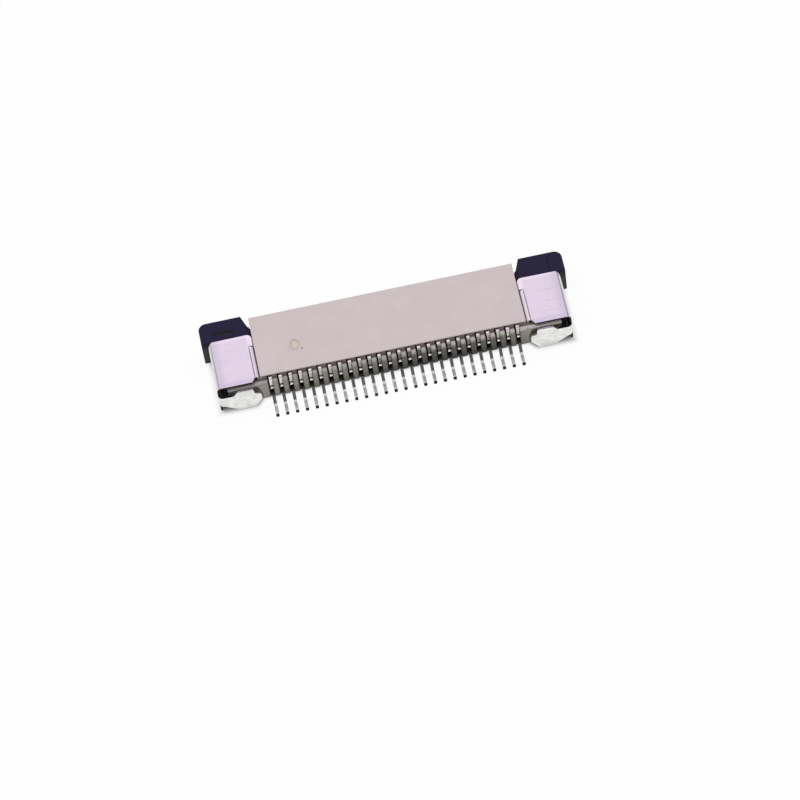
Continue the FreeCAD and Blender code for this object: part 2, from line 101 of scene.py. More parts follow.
def add_node(tree: Tree, kind: str, settings: dict[str, Any] | None = None,
             inputs: dict[str | int, Any] | None = None) -> bpy.types.Node:
    """Add a node with its settings and the values or links of its inputs.

    Args:
        tree: The node tree to add to.
        kind: The node's type name.
        settings: Properties of the node.
        inputs: Values, or output sockets to link, by input name or number.

    Returns:
        The new node.
    """
    node = tree.nodes.new(kind)
    for name, setting in (settings or {}).items():
        setattr(node, name, setting)
    for name, wanted in (inputs or {}).items():
        if isinstance(wanted, Socket):
            tree.links.new(wanted, node.inputs[name])
        else:
            node.inputs[name].default_value = wanted
    return node


def add_math(tree: Tree, operation: str, *terms: Socket | float) -> Socket:
    """Work out a number from values or sockets."""
    node = add_node(tree, "ShaderNodeMath", {"operation": operation}, dict(enumerate(terms)))
    return node.outputs["Value"]


def add_vector_math(tree: Tree, operation: str,
                    *terms: Socket | tuple[float, float, float]) -> Socket:
    """Work out a vector from values or sockets.

    Args:
        tree: The node tree to add to.
        operation: What is worked out.
        terms: The values or sockets, in order.

    Returns:
        The vector.
    """
    node = add_node(tree, "ShaderNodeVectorMath", {"operation": operation},
                    dict(enumerate(terms)))
    return node.outputs["Vector"]


def add_split(tree: Tree, vector: Socket) -> tuple[Socket, Socket, Socket]:
    """Split a vector into its X, Y and Z."""
    node = add_node(tree, "ShaderNodeSeparateXYZ", inputs={"Vector": vector})
    return node.outputs["X"], node.outputs["Y"], node.outputs["Z"]


def add_mix(tree: Tree, share: Socket, under: Any, over: Any, blend: str = "MIX") -> Socket:
    """Lay one colour over another.

    Args:
        tree: The node tree to add to.
        share: How much of the upper colour shows.
        under: The lower colour, a socket or a value.
        over: The upper colour, a socket or a value.
        blend: The way of mixing.

    Returns:
        The mixed colour.
    """
    # The node's sockets for colours are the inputs 6 and 7 and the output 2
    node = add_node(tree, "ShaderNodeMix", {"data_type": "RGBA", "blend_type": blend}, {
        "Factor": share, 6: under, 7: over})
    return node.outputs[2]


def add_noise(tree: Tree, place: Socket, size_mm: float, detail: float,
              roughness: float = 0.5) -> Socket:
    """Add a noise texture.

    Args:
        tree: The node tree to add to.
        place: Where on the surface the noise is read.
        size_mm: How wide its largest features are.
        detail: How many finer octaves it has.
        roughness: How strong these are.

    Returns:
        The noise's level.
    """
    node = add_node(tree, "ShaderNodeTexNoise", inputs={
        "Vector": place, "Scale": 1 / (size_mm * MM), "Detail": detail, "Roughness": roughness})
    return node.outputs["Fac"]


def add_ramp(tree: Tree, factor: Socket, stops: list[tuple[float, str | float]]) -> Socket:
    """Add a ramp of colours or of grey levels.

    Args:
        tree: The node tree to add to.
        factor: What runs along the ramp.
        stops: Place of each stop, in order, with its hex colour or its level.

    Returns:
        The ramp's colour output.
    """
    node = add_node(tree, "ShaderNodeValToRGB", inputs={"Fac": factor})
    ramp = node.color_ramp
    while len(ramp.elements) < len(stops):
        ramp.elements.new(1.0)
    for element, (place, tone) in zip(ramp.elements, stops):
        element.position = place
        element.color = linear(tone) if isinstance(tone, str) else (tone, tone, tone, 1.0)
    return node.outputs["Color"]


def add_range(tree: Tree, level: Socket, start: float, end: float, low: float = 0.0,
              high: float = 1.0, kind: str = "LINEAR") -> Socket:
    """Go from low, where the level is start, to high, where it is end.

    Args:
        tree: The node tree to add to.
        level: The number to carry over.
        start: Its first value.
        end: Its last value.
        low: What the first value becomes.
        high: What the last value becomes.
        kind: How it runs between them.

    Returns:
        The number carried over.
    """
    node = add_node(tree, "ShaderNodeMapRange", {"interpolation_type": kind}, {
        "Value": level, "From Min": start, "From Max": end, "To Min": low, "To Max": high})
    return node.outputs["Result"]


def add_fade(tree: Tree, level: Socket, start: float, end: float, unit: float = 1.0) -> Socket:
    """Rise smoothly from zero, where the level is start units, to one, where it is end."""
    return add_range(tree, level, start * unit, end * unit, kind="SMOOTHSTEP")


def add_swing(tree: Tree, noise: Socket, middle: float, swing: float) -> Socket:
    """Let a value swing about its middle with a noise texture.

    Args:
        tree: The node tree to add to.
        noise: The noise texture's output.
        middle: The value's middle.
        swing: How far it goes to each side.

    Returns:
        The value.
    """
    return add_range(tree, noise, *NOISE_SPAN, middle - swing, middle + swing)


def add_ramp_along(tree: Tree, place: Socket,
                   stops_mm: list[tuple[float, str | float]]) -> Socket:
    """Add a ramp whose stops are places along a coordinate, in millimetres.

    Args:
        tree: The node tree to add to.
        place: The coordinate, in metres.
        stops_mm: Place of each stop, in order, with its hex colour or its level.

    Returns:
        The ramp's colour output.
    """
    start, end = stops_mm[0][0], stops_mm[-1][0]
    share = add_range(tree, place, start * MM, end * MM)
    return add_ramp(tree, share, [
        ((stop - start) / (end - start), tone) for stop, tone in stops_mm])


def new_material(name: str) -> tuple[bpy.types.Material, Tree]:
    """Start an empty node material.

    Args:
        name: The material's name.

    Returns:
        The material and its empty node tree.
    """
    material = bpy.data.materials.new(name)
    material.use_nodes = True
    material.node_tree.nodes.clear()
    return material, material.node_tree


def object_space(tree: Tree, stretch: tuple[float, float, float] = (1, 1, 1)) -> Socket:
    """Give object coordinates, squeezed along each axis by stretch.

    Args:
        tree: The node tree to add to.
        stretch: How much finer a pattern gets along each axis.

    Returns:
        The coordinates.
    """
    place = add_node(tree, "ShaderNodeTexCoord").outputs["Object"]
    return add_node(tree, "ShaderNodeMapping",
                    inputs={"Vector": place, "Scale": stretch}).outputs["Vector"]


@dataclass(frozen=True)
class Patch:
    """A small place on a surface, in millimetres of the model's frame."""

    centre_mm: tuple[float, float, float]
    half_mm: tuple[float, float, float]

    def offset(self, tree: Tree) -> Socket:
        """Give the way from the patch's centre, with one at its border along each axis.

        Args:
            tree: The node tree to add to.

        Returns:
            The way, as a vector.
        """
        place = add_node(tree, "ShaderNodeTexCoord").outputs["Object"]
        moved = add_vector_math(tree, "SUBTRACT", place, tuple(Vector(self.centre_mm) * MM))
        return add_vector_math(tree, "DIVIDE", moved, tuple(Vector(self.half_mm) * MM))

    def oval(self, tree: Tree) -> Socket:
        """Give the distance from the centre, with one at the border of an oval."""
        return add_node(tree, "ShaderNodeVectorMath", {"operation": "LENGTH"}, {
            0: self.offset(tree)}).outputs["Value"]

    def box(self, tree: Tree) -> Socket:
        """Give the distance from the centre, with one at the border of a box.

        Args:
            tree: The node tree to add to.

        Returns:
            The distance.
        """
        apart = add_vector_math(tree, "ABSOLUTE", self.offset(tree))
        across, deep, up = add_split(tree, apart)
        return add_math(tree, "MAXIMUM", add_math(tree, "MAXIMUM", across, deep), up)


@dataclass(frozen=True)
class Stain:
    """An oval mark in a surface, with a rim of another colour."""

    patch: Patch
    inside: str
    rim: str
    share: float
    core: float = 0.45
    border: float = 0.75
    fade: float = 1.15

    def lay(self, tree: Tree, colour: Socket) -> Socket:
        """Lay the mark over a colour.

        Args:
            tree: The node tree to add to.
            colour: The colour below.

        Returns:
            The colour with the mark.
        """
        away = self.patch.oval(tree)
        tint = add_ramp(tree, away, [(self.core, self.inside), (self.border, self.rim)])
        cover = add_fade(tree, away, self.fade, self.border)
        return add_mix(tree, add_math(tree, "MULTIPLY", cover, self.share), colour, tint)


@dataclass(frozen=True)
class MarkOrPaintedLight:
    """A straight line or band in a surface, of another tone than what is round it.

    It lays real marks, and painted light and shade too. Its border is soft, and with a
    depth it is sunk as well.
    """

    patch: Patch
    colour: str
    share: float
    depth: float = 0.0
    border: tuple[float, float] = (1.3, 0.7)

    def at_side(self, turn: int) -> "MarkOrPaintedLight":
        """Give the same mark at the left end, for a turn of -1, or at the right one."""
        across, along, up = self.patch.centre_mm
        return replace(self, patch=replace(self.patch, centre_mm=(turn * across, along, up)))

    def lay(self, tree: Tree, colour: Socket, height: Socket) -> tuple[Socket, Socket]:
        """Lay the line over a colour and cut it into a height.

        Args:
            tree: The node tree to add to.
            colour: The colour below.
            height: The height below.

        Returns:
            The colour and the height with the line.
        """
        inside = add_fade(tree, self.patch.box(tree), *self.border)
        share = add_math(tree, "MULTIPLY", inside, self.share)
        return (add_mix(tree, share, colour, linear(self.colour)),
                add_math(tree, "MULTIPLY_ADD", inside, -self.depth, height))


@dataclass(frozen=True)
class PaintedRowShade:
    """A painted shade that changes along the row of contacts, on one band of the front.

    The band fades in over low_mm, out over high_mm, and towards the back over front_mm.
    """

    stops_mm: tuple[tuple[float, str], ...]
    low_mm: tuple[float, float]
    high_mm: tuple[float, float]
    front_mm: tuple[float, float]

    def along(self, tree: Tree, across: Socket) -> Socket:
        """Give the coordinate that the stops are places on."""
        return across

    def parts(self, tree: Tree, across: Socket) -> list[Socket]:
        """Give any further shares that narrow the band."""
        return []

    def lay(self, tree: Tree, colour: Socket) -> Socket:
        """Paint shade into a colour inside the band.

        Args:
            tree: The node tree to add to.
            colour: The colour below.

        Returns:
            The darkened colour.
        """
        place = add_node(tree, "ShaderNodeTexCoord").outputs["Object"]
        across, deep, up = add_split(tree, place)
        tone = add_ramp_along(tree, self.along(tree, across), list(self.stops_mm))
        cover = add_fade(tree, deep, *self.front_mm, MM)
        shares = [add_fade(tree, up, *self.low_mm, MM), add_fade(tree, up, *self.high_mm, MM)]
        for share in shares + self.parts(tree, across):
            cover = add_math(tree, "MULTIPLY", cover, share)
        return add_mix(tree, cover, colour, tone, "MULTIPLY")


@dataclass(frozen=True)
class PaintedRibShade(PaintedRowShade):
    """A painted shade whose stops span one pitch and start again at each rib, darker at the rib's
    sides.
    """

    row_end_mm: float = 13.1

    def along(self, tree: Tree, across: Socket) -> Socket:
        """Give the place within a pitch."""
        first, last = self.stops_mm[0][0], self.stops_mm[-1][0]
        return add_math(tree, "WRAP", across, last * MM, first * MM)

    def parts(self, tree: Tree, across: Socket) -> list[Socket]:
        """Keep the tone between the two ends of the row."""
        aside = add_math(tree, "ABSOLUTE", across)
        return [add_math(tree, "LESS_THAN", aside, self.row_end_mm * MM)]


@dataclass(frozen=True)
class MouldedResin:
    """Glass-filled liquid crystal polymer, injection moulded.

    The glass gives a dry satin face with faint flow clouds and pin-point specks.
    """

    name: str
    colour: str
    cloud: str
    speck: str
    roughness: float
    cloud_mm: float = 2.2
    cloud_span: tuple[float, float] = (0.38, 0.62)
    grain_mm: float = 0.16
    grain_depth_mm: float = 0.004
    speck_mm: float = 0.32
    speck_span: tuple[float, float] = (0.56, 0.72)
    speck_share: float = 0.35
    swing: float = 0.05
    ior: float = 1.55
    specular: float = 0.5
    painted_shades: tuple[PaintedRowShade, ...] = ()
    stains: tuple[Stain, ...] = ()
    marks_and_painted_light: tuple[MarkOrPaintedLight, ...] = ()

    def build(self) -> bpy.types.Material:
        """Make the material.

        Returns:
            The material.
        """
        material, tree = new_material(self.name)
        place = object_space(tree)
        clouds = add_noise(tree, place, self.cloud_mm, 4.0, 0.55)
        body = add_ramp(tree, clouds, list(zip(self.cloud_span, (self.cloud, self.colour))))
        specks = add_noise(tree, place, self.speck_mm, 6.0, 0.8)
        share = add_range(tree, specks, *self.speck_span, 0.0, self.speck_share)
        colour = add_mix(tree, share, body, linear(self.speck))
        height = add_noise(tree, place, self.grain_mm, 3.0)
        # Painted shade, laid before the stains and marks
        for shade in self.painted_shades:
            colour = shade.lay(tree, colour)
        for stain in self.stains:
            colour = stain.lay(tree, colour)
        # Real mould marks, and painted shade, shadow and sheen
        for tone_band in self.marks_and_painted_light:
            colour, height = tone_band.lay(tree, colour, height)
        bump = add_node(tree, "ShaderNodeBump", inputs={
            "Height": height, "Distance": self.grain_depth_mm * MM, "Strength": 1.0})
        shader = add_node(tree, "ShaderNodeBsdfPrincipled", inputs={
            "Base Color": colour, "Normal": bump.outputs["Normal"], "IOR": self.ior,
            "Specular IOR Level": self.specular,
            "Roughness": add_swing(tree, clouds, self.roughness, self.swing)})
        add_node(tree, "ShaderNodeOutputMaterial", inputs={"Surface": shader.outputs["BSDF"]})
        return material


@dataclass(frozen=True)
class TinPlate:
    """Matte tin electroplated on rolled strip.

    The plate is a pale neutral grey that mirrors softly. Rolling leaves fine lines
    along X, and handling leaves short scuffs.
    """

    name: str
    colour: str
    shade: str
    roughness: float
    metallic: float = 1.0
    cloud_mm: float = 1.4
    cloud_span: tuple[float, float] = (0.35, 0.65)
    line_mm: float = 0.09
    line_stretch: tuple[float, float, float] = (0.06, 1.0, 1.0)
    line_depth_mm: float = 0.0015
    wave_depth_mm: float = 0.0
    swing: float = 0.04
    marks_and_painted_light: tuple[MarkOrPaintedLight, ...] = ()

    def build(self) -> bpy.types.Material:
        """Make the material.

        Returns:
            The material.
        """
        material, tree = new_material(self.name)
        place = object_space(tree)
        clouds = add_noise(tree, place, self.cloud_mm, 4.0, 0.6)
        colour = add_ramp(tree, clouds, list(zip(self.cloud_span, (self.shade, self.colour))))
        height = add_noise(tree, object_space(tree, self.line_stretch), self.line_mm, 3.0)
        # Real scuffs, and on the hold-downs' tops painted highlights and shade
        for tone_band in self.marks_and_painted_light:
            colour, height = tone_band.lay(tree, colour, height)
        bump = add_node(tree, "ShaderNodeBump", inputs={
            "Height": height, "Distance": self.line_depth_mm * MM, "Strength": 1.0})
        normal = bump.outputs["Normal"]
        if self.wave_depth_mm > 0:
            normal = add_node(tree, "ShaderNodeBump", inputs={
                "Height": clouds, "Distance": self.wave_depth_mm * MM, "Strength": 1.0,
                "Normal": normal}).outputs["Normal"]
        shader = add_node(tree, "ShaderNodeBsdfPrincipled", inputs={
            "Base Color": colour, "Metallic": self.metallic, "Normal": normal,
            "Roughness": add_swing(tree, clouds, self.roughness, self.swing)})
        add_node(tree, "ShaderNodeOutputMaterial", inputs={"Surface": shader.outputs["BSDF"]})
        return material


@dataclass(frozen=True)
class ContactPlate:
    """Tin on a stamped contact: bright on its head, duller on the leg and the foot.

    The stops run along Y from the foot's tip to the head, each with a colour and
    how far the plate shows as metal there. They paint light and shade: the darker leg
    is painted shade, and a low metal share paints a white highlight on the bend and
    paler light on the foot. Painted shade along the row is laid over them.
    """

    name: str
    stops_mm: tuple[tuple[float, str, float], ...]
    # Painted shade along the row of contacts
    shade: PaintedRowShade
    roughness: float
    cloud_mm: float = 0.5
    cloud_span: tuple[float, float] = (0.35, 0.65)
    dullest: float = 0.88
    swing: float = 0.05

    def build(self) -> bpy.types.Material:
        """Make the material.

        Returns:
            The material.
        """
        material, tree = new_material(self.name)
        place = add_node(tree, "ShaderNodeTexCoord").outputs["Object"]
        _, deep, _ = add_split(tree, place)
        body = add_ramp_along(tree, deep, [(stop, colour) for stop, colour, _ in self.stops_mm])
        # Metal share along Y: a low share paints a white highlight on the bend and paler light on
        # the foot
        metal_share = add_ramp_along(tree, deep, [(stop, share) for stop, _, share in self.stops_mm])
        clouds = add_noise(tree, place, self.cloud_mm, 3.0)
        light = add_range(tree, clouds, *self.cloud_span, self.dullest, 1.0)
        # The painted shade along the row is laid over the body colour, then dulled by the clouds
        colour = add_node(tree, "ShaderNodeVectorMath", {"operation": "SCALE"}, {
            0: self.shade.lay(tree, body), "Scale": light})
        shader = add_node(tree, "ShaderNodeBsdfPrincipled", inputs={
            "Base Color": colour.outputs["Vector"], "Metallic": metal_share,
            "Roughness": add_swing(tree, clouds, self.roughness, self.swing)})
        add_node(tree, "ShaderNodeOutputMaterial", inputs={"Surface": shader.outputs["BSDF"]})
        return material


@dataclass(frozen=True)
class ShearedBronze:
    """The cut face of stamped phosphor bronze: unplated, dark and finely torn. Its near-black
    colour also serves as painted shade.
    """

    name: str
    colour: str
    shade: str
    roughness: float = 0.6
    specular: float = 0.3
    tear_mm: float = 0.05
    tear_span: tuple[float, float] = (0.4, 0.65)
    tear_stretch: tuple[float, float, float] = (1.0, 1.0, 0.25)
    tear_depth_mm: float = 0.003

    def build(self) -> bpy.types.Material:
        """Make the material.

        Returns:
            The material.
        """
        material, tree = new_material(self.name)
        tears = add_noise(tree, object_space(tree, self.tear_stretch), self.tear_mm, 2.0)
        colour = add_ramp(tree, tears, list(zip(self.tear_span, (self.shade, self.colour))))
        bump = add_node(tree, "ShaderNodeBump", inputs={
            "Height": tears, "Distance": self.tear_depth_mm * MM, "Strength": 1.0})
        shader = add_node(tree, "ShaderNodeBsdfPrincipled", inputs={
            "Base Color": colour, "Roughness": self.roughness,
            "Normal": bump.outputs["Normal"], "Specular IOR Level": self.specular})
        add_node(tree, "ShaderNodeOutputMaterial", inputs={"Surface": shader.outputs["BSDF"]})
        return material


# The oval that the mould's gate leaves in the plate, and a dark speck beside it
GATE_MARKS = (
    Stain(Patch((-9.43, 0.4, 3.6), (0.46, 0.74, 0.5)), "#D4C8B2", "#B9A794", 0.7),
    Stain(Patch((-8.8, -0.24, 3.65), (0.1, 0.1, 0.2)), "#5C3F40", "#8C7472", 0.9))

# Painted shade on the comb of ribs, darkest right of its middle. It is laid in turn on
# the fronts, the tops, the feet, the corner under the plate's edge and each rib's sides.
COMB_PAINTED_SHADE = (
    PaintedRowShade(
        ((-13.6, "#FAFFFA"), (-12.0, "#F6FCF4"), (-6.0, "#DBE2DA"), (-3.0, "#CCD2C8"),
         (0.0, "#A7ACA3"), (2.5, "#7F837A"), (8.0, "#898D84"), (10.5, "#9A9E95"),
         (12.5, "#CED4CB"), (13.6, "#EEF5EC")), (0.0, 0.1), (3.15, 2.6), (-2.2, -2.3)),
    PaintedRowShade(((-12.0, "#D4D6D4"), (12.0, "#F9FBFA")), (2.9, 3.15), (9.0, 8.0), (-2.6, -2.65)),
    PaintedRowShade(
        ((-13.6, "#FFFFFC"), (-11.0, "#C8C8C0"), (-4.0, "#BCBCB4"), (0.0, "#909088"),
         (2.0, "#71716A"), (9.0, "#71716A"), (12.0, "#B8B8B1"), (13.6, "#F2F2EC")),
        (-0.2, -0.1), (2.2, 0.9), (-2.2, -2.3)),
    PaintedRowShade(((-13.0, "#B98A80"), (13.0, "#B98A80")), (3.21, 3.27), (3.6, 3.5), (-2.2, -2.3)),
    PaintedRibShade(
        ((0.65, "#8E8E8A"), (0.74, "#EEEEEC"), (0.82, "#FFFFFF"), (1.03, "#FFFFFF"),
         (1.11, "#EEEEEC"), (1.2, "#82827E"), (1.65, "#82827E")),
        (-0.2, -0.1), (3.35, 3.2), (-2.6, -2.7)))

# Painted shade on the contacts' heads, like that on the comb, apart from their tops
HEAD_PAINTED_SHADE = PaintedRowShade(
    ((-12.5, "#F3F3F0"), (-8.5, "#D3D2CF"), (-4.5, "#B7B6B3"), (-2.5, "#9B9A97"),
     (-0.5, "#7D7B78"), (1.5, "#686663"), (5.5, "#706E6B"), (7.5, "#83817C"),
     (9.5, "#A09E99"), (11.5, "#D6D4CF")), (2.2, 2.35), (3.47, 3.25), (-2.9, -3.0))

# Painted shade: a dark line in the corner between the step and the plate's front edge
STEP_CORNER_PAINTED_SHADE = MarkOrPaintedLight(Patch((0.0, -2.7, 3.3), (40.0, 0.15, 0.25)), "#4E3833", 0.78)

# Painted shadow in the slider's corners: along its ears' fronts, under the hold-downs' back
# edges, and beside the plate
EAR_CORNER_PAINTED_SHADOWS = (
    MarkOrPaintedLight(Patch((0.0, 2.74, 3.4), (40.0, 0.14, 0.3)), "#04030F", 0.6),
    MarkOrPaintedLight(Patch((-13.6, 2.6, 3.3), (0.3, 1.4, 1.5)), "#020108", 0.9),
    MarkOrPaintedLight(Patch((13.6, 2.6, 3.3), (0.3, 1.4, 1.5)), "#020108", 0.9))

# Painted sheen: the lower part of the ears' fronts is painted paler beside the hold-downs
EAR_FEET_PAINTED_SHEEN = (
    MarkOrPaintedLight(Patch((-18.3, 2.76, 0.6), (0.5, 0.15, 1.9)), "#464742", 0.9),
    MarkOrPaintedLight(Patch((18.3, 2.76, 0.6), (0.5, 0.15, 1.9)), "#4E4C4A", 0.9))

# Mould marks on top of the ears: a sunk field with a line at the left, a corner at the right
EAR_MARKS = (
    MarkOrPaintedLight(Patch((-16.2, 3.7, 3.4), (1.25, 0.42, 0.2)), "#0B0920", 0.35, 1.0),
    MarkOrPaintedLight(Patch((-16.2, 3.7, 3.4), (1.0, 0.13, 0.2)), "#020109", 0.95, 5.0),
    MarkOrPaintedLight(Patch((-15.3, 3.4, 3.4), (0.05, 0.35, 0.2)), "#08061A", 0.5, 3.0),
    MarkOrPaintedLight(Patch((15.7, 4.85, 3.4), (1.45, 0.05, 0.2)), "#08061A", 0.5, 3.0),
    MarkOrPaintedLight(Patch((17.05, 4.0, 3.4), (0.08, 0.8, 0.2)), "#04030F", 0.85, 5.0))

# Short scuffs on the hold-downs' tops, three at the right and one at the left
SCUFFS = (
    MarkOrPaintedLight(Patch((16.3, 0.69, 3.68), (1.0, 0.08, 0.1)), "#BDB5C1", 0.2, 0.5),
    MarkOrPaintedLight(Patch((16.35, -0.65, 3.68), (0.68, 0.08, 0.1)), "#BDB5C1", 0.2, 0.5),
    MarkOrPaintedLight(Patch((16.2, -1.87, 3.68), (0.76, 0.08, 0.1)), "#BDB5C1", 0.2, 0.5),
    MarkOrPaintedLight(Patch((-15.9, 1.2, 3.68), (0.7, 0.08, 0.1)), "#C9C2CC", 0.12, 0.3))

# Painted light on a right hold-down's top, mirrored for the left one: painted highlights
# on the back edge, the inner tab and the lip's bend, and painted shade on the front edge,
# the outer bend and the crease behind the lip
TOP_PAINTED_LIGHT = (
    MarkOrPaintedLight(Patch((15.6, 2.75, 3.68), (2.1, 0.4, 1.0)), "#FFFFFF", 0.45),
    MarkOrPaintedLight(Patch((13.75, 1.95, 3.68), (0.3, 0.65, 1.0)), "#FFFFFF", 0.65),
    MarkOrPaintedLight(Patch((15.6, -2.95, 3.68), (2.1, 0.4, 1.0)), "#D8D6E0", 0.7),
    MarkOrPaintedLight(Patch((18.1, -0.3, 3.68), (1.1, 3.4, 1.0)), "#CFCED2", 0.5),
    MarkOrPaintedLight(Patch((13.7, -0.75, 3.68), (0.16, 1.85, 0.3)), "#FFF8F6", 0.8),
    MarkOrPaintedLight(Patch((13.94, -0.72, 3.68), (0.07, 1.9, 0.3)), "#7C727A", 0.75))

# Natural beige resin: a dry, faintly clouded face that takes a soft light, with painted
# shade on its comb and in the step's corner
HOUSING_RESIN = MouldedResin(
    "housing_beige_lcp", "#CFC5C2", "#CBC1BD", "#B5A79E", 0.55, speck_share=0.2,
    painted_shades=COMB_PAINTED_SHADE, stains=GATE_MARKS, marks_and_painted_light=(STEP_CORNER_PAINTED_SHADE,))

# Blue-black resin: nearly black, with small violet clouds and paler specks, painted
# shadow in its corners, painted sheen on the ears' feet and mould marks on the ears
SLIDER_RESIN = MouldedResin(
    "slider_blue_black_lcp", "#171436", "#0F0C2C", "#2C294C", 0.6, cloud_mm=0.7, specular=0.25,
    marks_and_painted_light=EAR_CORNER_PAINTED_SHADOWS + EAR_FEET_PAINTED_SHEEN + EAR_MARKS)

# Matte tin on the hold-downs' outside mirrors the tent as a soft lilac white
SKIN_TIN = TinPlate("hold_down_matte_tin", "#ECEBEA", "#E6E4E5", 0.24, marks_and_painted_light=SCUFFS)

# The front flanges are pressed and wavy, so they catch light in patches
FLANGE_TIN = TinPlate(
    "flange_pressed_tin", "#F8F8F6", "#DEDEDB", 0.4, cloud_mm=0.55, wave_depth_mm=0.02)

# Painted highlight: the lips get a whiter, partly diffuse tin, so that their bends stay bright
LIP_PAINTED_HIGHLIGHT_TIN = TinPlate("lip_painted_highlight_tin", "#F6F0F4", "#E9E2E8", 0.45, metallic=0.4)

# Painted shade: inside the fold little light comes back, so this tin is painted dark and warm
INNER_PAINTED_SHADE_TIN = TinPlate("hold_down_inner_painted_shade_tin", "#48443F", "#34312E", 0.55)

# Edges cut after plating, painted nearly black: partly the unplated metal, partly painted
# shade. On the contacts it also paints shade into the notch, under the nose, on the
# set-back leg and on the step
CUT_BRONZE_AND_PAINTED_SHADE = ShearedBronze("sheared_bronze_and_painted_shade", "#221D1A", "#100D0C")

# Bright heads, a sloping leg darkened as painted shade, a bend painted white as a highlight,
# and a grey foot and tip painted paler by a lower metal share
CONTACT_TIN = ContactPlate("contact_tin", (
    (-5.3, "#F4F4F4", 0.3), (-5.02, "#F4F4F4", 0.3), (-4.88, "#F1F5F0", 0.75),
    (-4.2, "#F1F5F0", 0.75), (-4.05, "#FFFFFF", 0.1), (-3.86, "#FFFFFF", 0.1),
    (-3.8, "#9D9D9B", 1.0), (-3.19, "#939391", 1.0), (-3.13, "#FFFFF6", 1.0),
    (2.0, "#F6FAEE", 1.0)), HEAD_PAINTED_SHADE, 0.34)


def node_mesh(name: str, trim: Callable[[Vector], None] | None = None) -> bmesh.types.BMesh:
    """Copy a node's mesh, join its loose triangles and merge those that lie in one plane.

    Args:
        name: The node.
        trim: Moves a point before the triangles are merged.

    Returns:
        The merged copy.
    """
    mesh = bmesh.new()
    mesh.from_mesh(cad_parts[name].data)
    bmesh.ops.remove_doubles(mesh, verts=mesh.verts, dist=MERGE_MM * MM)
    if trim is not None:
        for point in mesh.verts:
            trim(point.co)
    bmesh.ops.dissolve_limit(mesh, angle_limit=math.radians(FLAT_DEG), verts=mesh.verts,
                             edges=mesh.edges, delimit=set())
    return mesh


def new_mesh(name: str, shape: bmesh.types.BMesh) -> bpy.types.Mesh:
    """Turn a worked shape into a mesh, and let the shape go.

    Args:
        name: The mesh's name.
        shape: The worked shape. It is freed.

    Returns:
        The mesh.
    """
    mesh = bpy.data.meshes.new(name)
    shape.to_mesh(mesh)
    shape.free()
    return mesh


def new_object(name: str, mesh: bpy.types.Mesh,
               materials: list[bpy.types.Material]) -> bpy.types.Object:
    """Add an object with its materials to the scene.

    Args:
        name: The object's name.
        mesh: Its mesh.
        materials: Its materials, in the order of their numbers.

    Returns:
        The object.
    """
    mesh.materials.clear()
    for material in materials:
        mesh.materials.append(material)
    piece = bpy.data.objects.new(name, mesh)
    bpy.context.scene.collection.objects.link(piece)
    return piece


def bake_modifiers(piece: bpy.types.Object) -> None:
    """Replace a piece's mesh by what its modifiers make of it.

    Args:
        piece: The object to change.
    """
    view = bpy.context.evaluated_depsgraph_get()
    mesh = bpy.data.meshes.new_from_object(piece.evaluated_get(view))
    piece.modifiers.clear()
    piece.data = mesh


def keep_in_box(piece: bpy.types.Object, node: str) -> None:
    """Hold a piece's points inside the box of the node that it stands for.

    Args:
        piece: The object to change.
        node: The node's name.
    """
    low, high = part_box(node)
    for point in piece.data.vertices:
        for axis in range(3):
            point.co[axis] = min(max(point.co[axis], low[axis]), high[axis])


def finish_piece(piece: bpy.types.Object, body: str, nodes: list[str]) -> None:
    """Attach a finished piece to its body and hide the nodes it stands for.

    Args:
        piece: The finished object.
        body: The body it moves with.
        nodes: The nodes' names.
    """
    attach(piece, body)
    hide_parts(*nodes)
    log.info("%s: %d faces on %s", piece.name, len(piece.data.polygons), body)


@dataclass
class EdgeBreak:
    """The small round that every moulded or stamped edge has."""

    width_mm: float
    segments: int = 2
    angle_deg: float = 35.0

    def apply(self, piece: bpy.types.Object) -> None:
        """Round the piece's sharp edges and leave a plain mesh.

        Args:
            piece: The object to round. It has no other modifier.
        """
        bevel = piece.modifiers.new("edge_break", "BEVEL")
        bevel.width = self.width_mm * MM
        bevel.segments = self.segments
        bevel.limit_method = "ANGLE"
        bevel.angle_limit = math.radians(self.angle_deg)
        bevel.use_clamp_overlap = False
        self.flatten(piece)

    def flatten(self, piece: bpy.types.Object) -> None:
        """Shade flat faces flat and rounds round, and leave a plain mesh.

        Args:
            piece: The object to shade.
        """
        flat = piece.modifiers.new("flat_faces", "WEIGHTED_NORMAL")
        flat.mode = "FACE_AREA"
        flat.weight = 100
        flat.keep_sharp = True
        piece.data.shade_smooth()
        bake_modifiers(piece)

    def roll(self, shape: bmesh.types.BMesh,
             wanted: Callable[[bmesh.types.BMEdge], bool]) -> None:
        """Round only the wanted edges of a mesh that is still being made.

        Args:
            shape: The mesh to change.
            wanted: Tells whether an edge is rounded.
        """
        edges = [edge for edge in shape.edges if len(edge.link_faces) == 2 and wanted(edge)]
        bmesh.ops.bevel(shape, geom=edges, offset=self.width_mm * MM, segments=self.segments,
                        profile=0.5, affect="EDGES", clamp_overlap=True)


@dataclass
class Moulding:
    """One moulded piece that keeps its node's form and gets its edges and finish."""

    node: str
    body: str
    slot: Slot
    finish: MouldedResin
    edges: EdgeBreak

    def build(self) -> bpy.types.Object:
        """Make the piece in place of its node.

        Returns:
            The finished piece.
        """
        mesh = new_mesh(f"{self.node}_form", node_mesh(self.node))
        piece = new_object(f"{self.node}_piece", mesh, [self.finish.build()])
        self.edges.apply(piece)
        keep_in_box(piece, self.node)
        finish_piece(piece, self.body, [self.node])
        return piece


class SheetZone(Enum):
    """Parts of a hold-down's surface, by the order of its materials."""

    SKIN = 0
    FLANGE = 1
    INNER = 2
    CUT = 3
    LIP = 4


class Side(Enum):
    """The two ends of the row."""

    LEFT = "left"
    RIGHT = "right"


